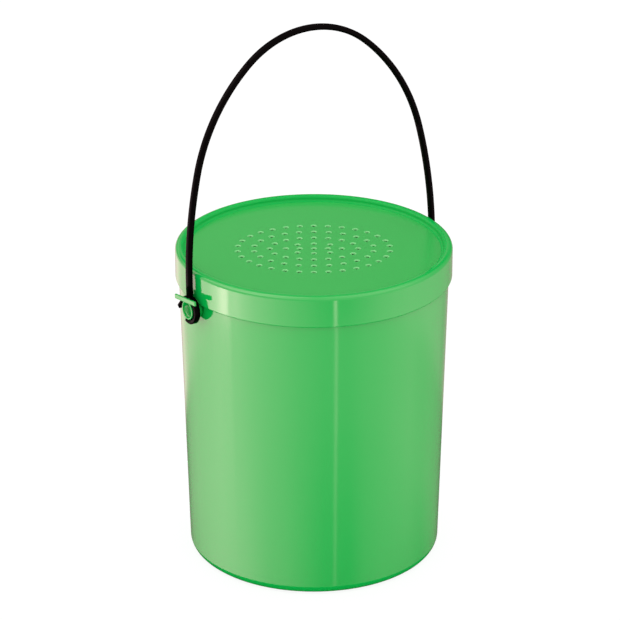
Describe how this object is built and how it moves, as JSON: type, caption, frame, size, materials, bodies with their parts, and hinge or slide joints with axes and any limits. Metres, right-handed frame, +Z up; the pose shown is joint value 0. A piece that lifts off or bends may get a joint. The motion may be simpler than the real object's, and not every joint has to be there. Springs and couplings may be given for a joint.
{
  "type": "bait bucket",
  "caption": "Round drafted plastic bait bucket with a push-on vented lid and a thin clip-on bail that swings on cored side studs.",
  "frame": {"origin": "centre of the foot ring's resting plane, on the bucket's axis", "axes": "+Z up along the bucket's axis, X along the bail's pivot axis, -Y to the front"},
  "size_m": [0.1736, 0.156, 0.3123],
  "materials": {
    "bucket_plastic": "translucent green moulded polypropylene, semi-gloss",
    "lid_plastic": "translucent green moulded polypropylene, semi-gloss",
    "bail_plastic": "black moulded plastic, semi-gloss"
  },
  "bodies": {
    "bucket": {"bucket_body": "bucket_plastic"},
    "lid": {"lid": "lid_plastic"},
    "bail": {"bail_handle": "bail_plastic"}
  },
  "joints": [
    {"name": "bail_swing", "type": "hinge", "parent": "bucket", "child": "bail", "pos_m": [0, 0, 0.1633], "axis": [1, 0, 0], "range_deg": [-142.4, 147.6]},
    {"name": "lid_lift", "type": "slide", "parent": "bucket", "child": "lid", "axis": [0, 0, 1], "range_m": [0, 0.018]}
  ]
}
